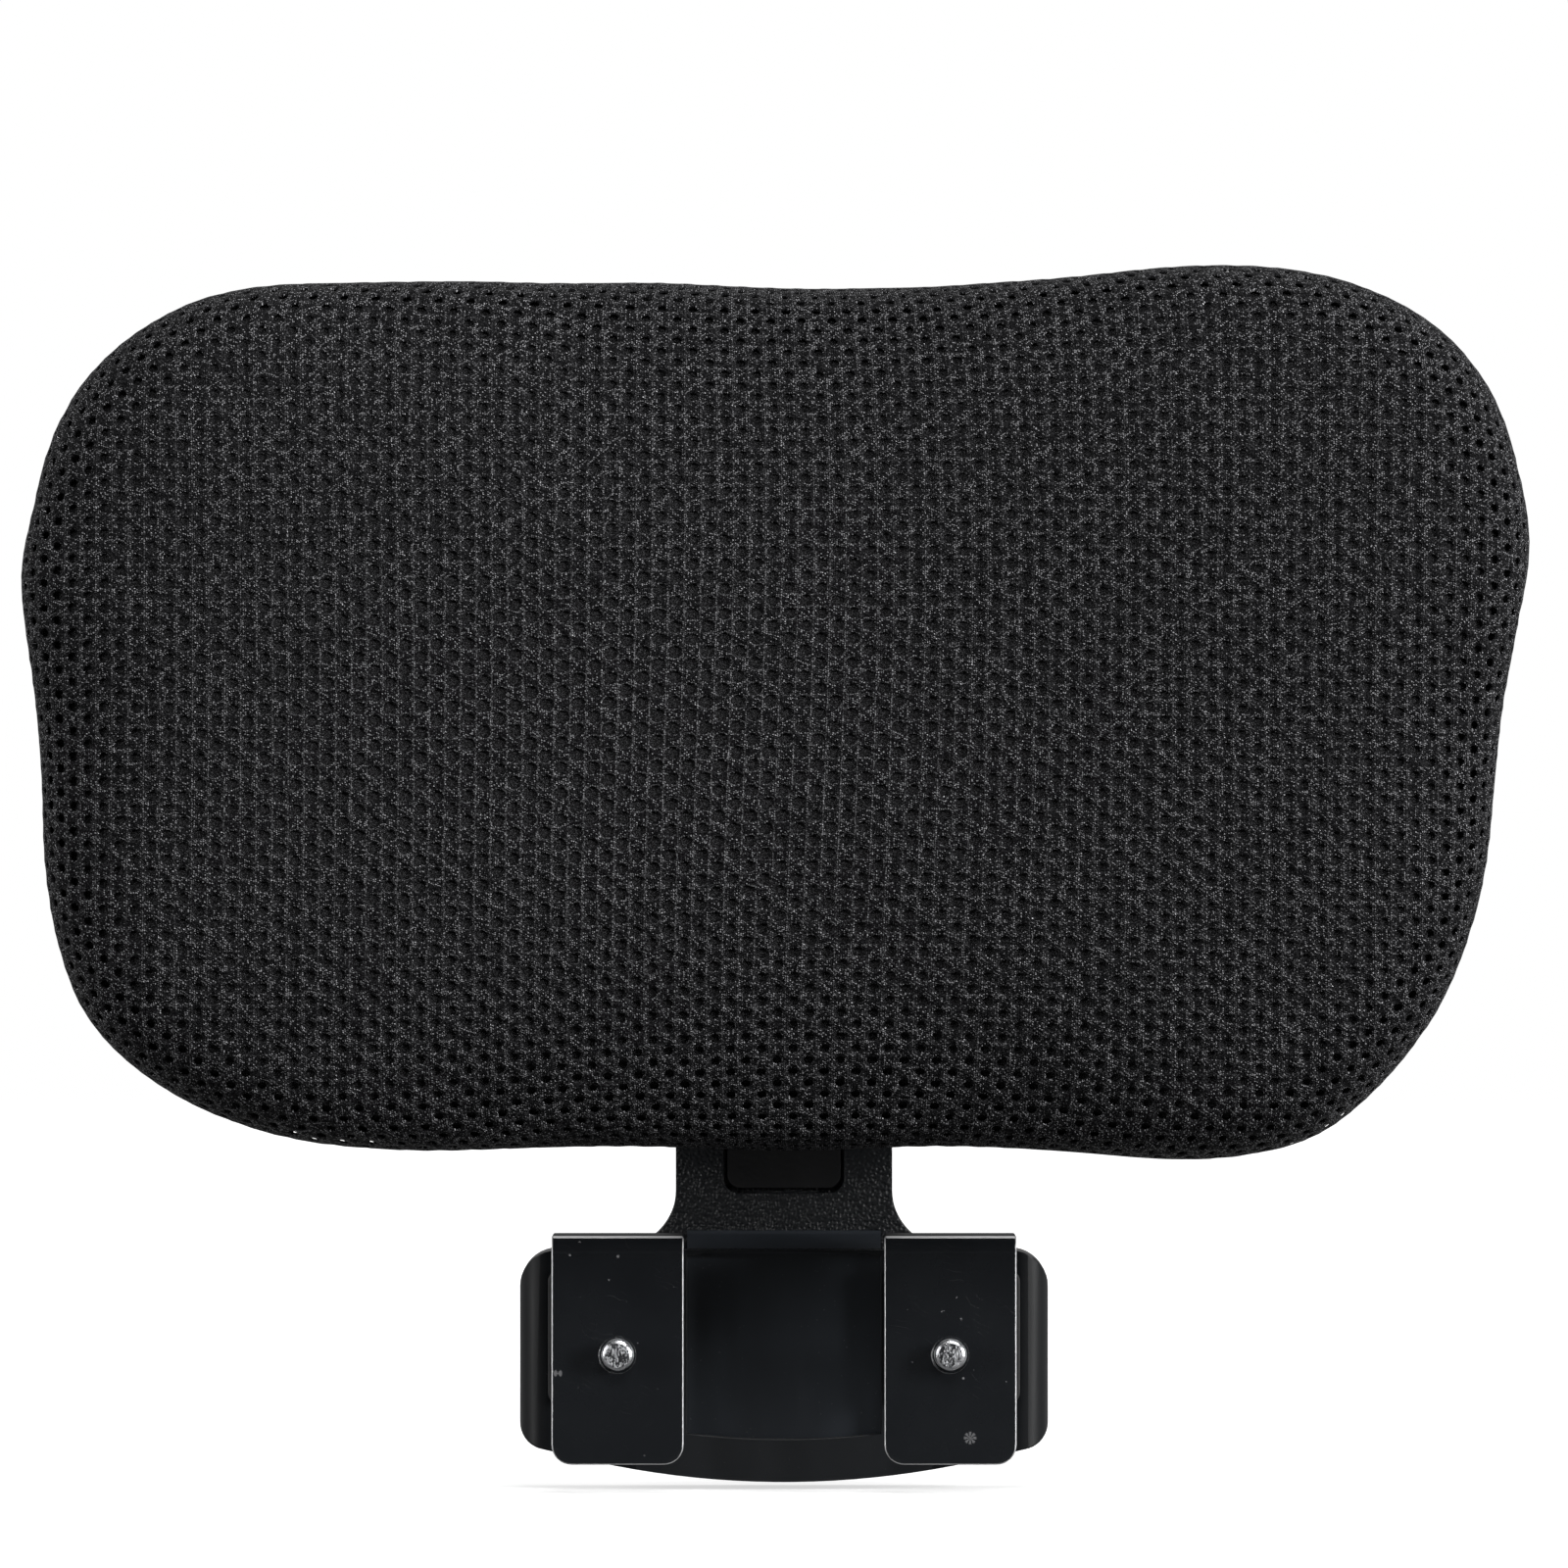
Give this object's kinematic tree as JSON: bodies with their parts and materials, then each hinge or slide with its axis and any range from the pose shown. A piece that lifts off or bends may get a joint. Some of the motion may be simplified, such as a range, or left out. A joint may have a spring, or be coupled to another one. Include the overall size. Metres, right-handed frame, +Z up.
{
  "type": "clip-on chair headrest",
  "caption": "Clip-on headrest for an office chair: padded mesh-covered cushion on a friction tilt hinge and height slide, over a bracket whose steel hooks clamp the chair back's top rail.",
  "frame": {"origin": "middle of the clamp: centre plane, on the front face of the clamp pads, at the underside of the hooks' top webs, where the chair back's top rail seats", "axes": "+X to the right seen from the front of the cushion, along its width; +Y to the rear, away from the sitter; +Z up"},
  "size_m": [0.301, 0.1037, 0.2411],
  "materials": {
    "bracket_plastic": "satin",
    "shell_plastic": "matte",
    "slider_plastic": "satin",
    "board_plastic": "matte",
    "pad_rubber": "matte",
    "black_steel": "gloss",
    "bolt_steel": "satin",
    "zinc_steel": "satin",
    "foam": "matte",
    "mesh_fabric": "matte"
  },
  "bodies": {
    "bracket": {"base_bracket": "bracket_plastic", "left_clamp_pad": "pad_rubber", "right_clamp_pad": "pad_rubber", "height_stop_screw": "zinc_steel", "left_bolt_washer": "zinc_steel", "right_bolt_washer": "zinc_steel"},
    "left_hook": {"left_hook_plate": "black_steel"},
    "right_hook": {"right_hook_plate": "black_steel"},
    "left_bolt": {"left_clamp_bolt": "bolt_steel"},
    "right_bolt": {"right_clamp_bolt": "bolt_steel"},
    "slider": {"height_slider": "slider_plastic", "detent_spring": "zinc_steel", "detent_rivet": "zinc_steel"},
    "cushion": {"hinge_washers": "zinc_steel", "hinge_pin": "bolt_steel", "hinge_nut": "zinc_steel", "pivot_bracket": "bracket_plastic", "pivot_screws": "zinc_steel", "support_board": "board_plastic", "rear_shell": "shell_plastic", "shell_screws": "black_steel", "foam_pad": "foam", "mesh_cover_front": "mesh_fabric", "mesh_cover_back": "mesh_fabric"}
  },
  "joints": [
    {"name": "height_slide", "type": "slide", "parent": "bracket", "child": "slider", "axis": [0, 0, 1], "range_m": [0, 0.04], "deforming": ["detent_spring"]},
    {"name": "head_tilt", "type": "hinge", "parent": "slider", "child": "cushion", "pos_m": [0, -0.001, 0.066], "axis": [1, 0, 0], "range_deg": [-35, 15]},
    {"name": "left_hook_clamp", "type": "slide", "parent": "bracket", "child": "left_hook", "axis": [0, 1, 0], "range_m": [-0.003, 0.01]},
    {"name": "right_hook_clamp", "type": "slide", "parent": "bracket", "child": "right_hook", "axis": [0, 1, 0], "range_m": [-0.003, 0.01]},
    {"name": "left_bolt_turn", "type": "hinge", "parent": "bracket", "child": "left_bolt", "pos_m": [-0.0335, 0, -0.0224], "axis": [0, 1, 0], "range_deg": [-3600, 1080]},
    {"name": "right_bolt_turn", "type": "hinge", "parent": "bracket", "child": "right_bolt", "pos_m": [0.0335, 0, -0.0224], "axis": [0, 1, 0], "range_deg": [-3600, 1080]}
  ],
  "couplings": [
    {"joint": "left_bolt_turn", "follows": "left_hook_clamp", "rad_per_m": -6283.2},
    {"joint": "right_bolt_turn", "follows": "right_hook_clamp", "rad_per_m": -6283.2}
  ]
}
